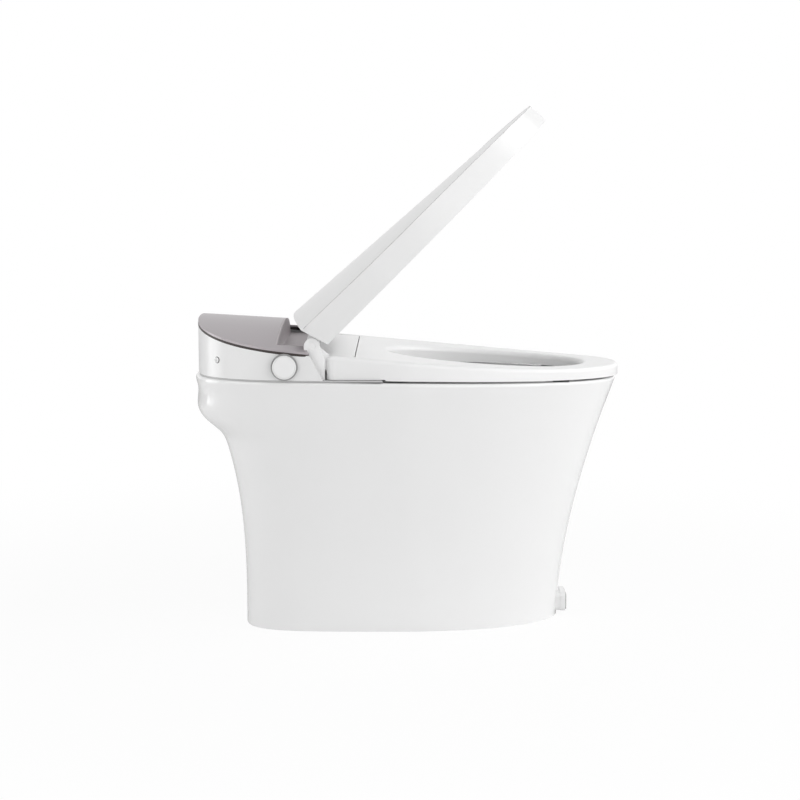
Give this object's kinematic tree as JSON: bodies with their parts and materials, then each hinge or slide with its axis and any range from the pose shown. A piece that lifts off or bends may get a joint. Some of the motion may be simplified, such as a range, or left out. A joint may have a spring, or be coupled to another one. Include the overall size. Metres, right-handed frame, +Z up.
{
  "type": "smart toilet",
  "caption": "Skirted ceramic toilet with a wash unit on its rear deck, a heated seat, a lid standing half open, a side control knob, sliding wash wands and a foot sensor.",
  "frame": {"origin": "centre of the floor outlet, on the floor", "axes": "+X to the front of the toilet, +Z up, +Y to the left of someone who sits on it"},
  "size_m": [0.685, 0.4, 0.8314],
  "materials": {
    "ceramic": "gloss glaze",
    "white_shell": "gloss",
    "seat_white": "gloss",
    "cover_grey": "satin",
    "dark_trim": "matte",
    "trough_brown": "satin",
    "grey_plastic": "satin",
    "knob_white": "satin",
    "steel": "brushed",
    "brass": "turned",
    "rubber": "matte",
    "board_green": "solder mask",
    "foil": "foil",
    "window": "gloss"
  },
  "bodies": {
    "pan": {"ceramic_body": "ceramic", "rear_housing": "white_shell", "front_cowl": "white_shell", "hinge_posts": "white_shell", "foot_sensor": "white_shell", "side_plug": "white_shell", "sensor_gasket": "white_shell", "top_cover": "cover_grey", "cover_trim": "dark_trim", "hinge_trough": "trough_brown", "lid_damper": "grey_plastic", "seat_damper": "grey_plastic", "knob_bezel": "grey_plastic", "knob_encoder": "grey_plastic", "wand_guide": "grey_plastic", "wand_motor": "grey_plastic", "water_heater": "grey_plastic", "water_pump": "grey_plastic", "dryer_fan": "grey_plastic", "dryer_duct": "grey_plastic", "deodoriser": "grey_plastic", "flush_valve": "grey_plastic", "flush_pipe": "grey_plastic", "power_gland": "grey_plastic", "base_plate": "grey_plastic", "hinge_pins": "steel", "unit_bolts": "steel", "unit_nuts": "steel", "floor_brackets": "steel", "bracket_screws": "steel", "board_standoffs": "steel", "inlet_valve": "brass", "outlet_seal": "rubber", "control_board": "board_green", "sensor_window": "window"},
    "lid": {"lid_shell": "white_shell", "lid_band": "white_shell", "lid_arms": "white_shell", "lid_liner": "white_shell", "lid_buffers": "rubber"},
    "seat": {"seat_top": "seat_white", "seat_base": "seat_white", "seat_arms": "seat_white", "seat_heater": "foil", "seat_buffers": "rubber"},
    "knob": {"knob_ring": "knob_white"},
    "knob_face": {"knob_button": "knob_white"},
    "rear_wand": {"rear_wash_wand": "steel"},
    "front_wand": {"front_wash_wand": "steel"},
    "flap": {"dryer_flap": "grey_plastic"}
  },
  "joints": [
    {"name": "lid_hinge", "type": "hinge", "parent": "pan", "child": "lid", "pos_m": [-0.092, 0, 0.462], "axis": [0, -1, 0], "range_deg": [-48.7, 41.3]},
    {"name": "seat_hinge", "type": "hinge", "parent": "pan", "child": "seat", "pos_m": [-0.092, 0, 0.462], "axis": [0, -1, 0], "range_deg": [0, 47]},
    {"name": "knob_turn", "type": "hinge", "parent": "pan", "child": "knob", "pos_m": [-0.134, -0.19, 0.4304], "axis": [0, -1, 0], "continuous": true},
    {"name": "knob_push", "type": "slide", "parent": "knob", "child": "knob_face", "axis": [0, 1, 0], "range_m": [0, 0.0025], "stiffness_N_per_m": 600},
    {"name": "rear_wand_slide", "type": "slide", "parent": "pan", "child": "rear_wand", "axis": [0.9397, 0, -0.342], "range_m": [0, 0.12]},
    {"name": "front_wand_slide", "type": "slide", "parent": "pan", "child": "front_wand", "axis": [0.9397, 0, -0.342], "range_m": [0, 0.12]},
    {"name": "flap_swing", "type": "hinge", "parent": "pan", "child": "flap", "pos_m": [-0.0562, 0.058, 0.4115], "axis": [0, -1, 0], "range_deg": [0, 60], "stiffness_Nm_per_rad": 0.002, "springref_deg": -17.19}
  ]
}
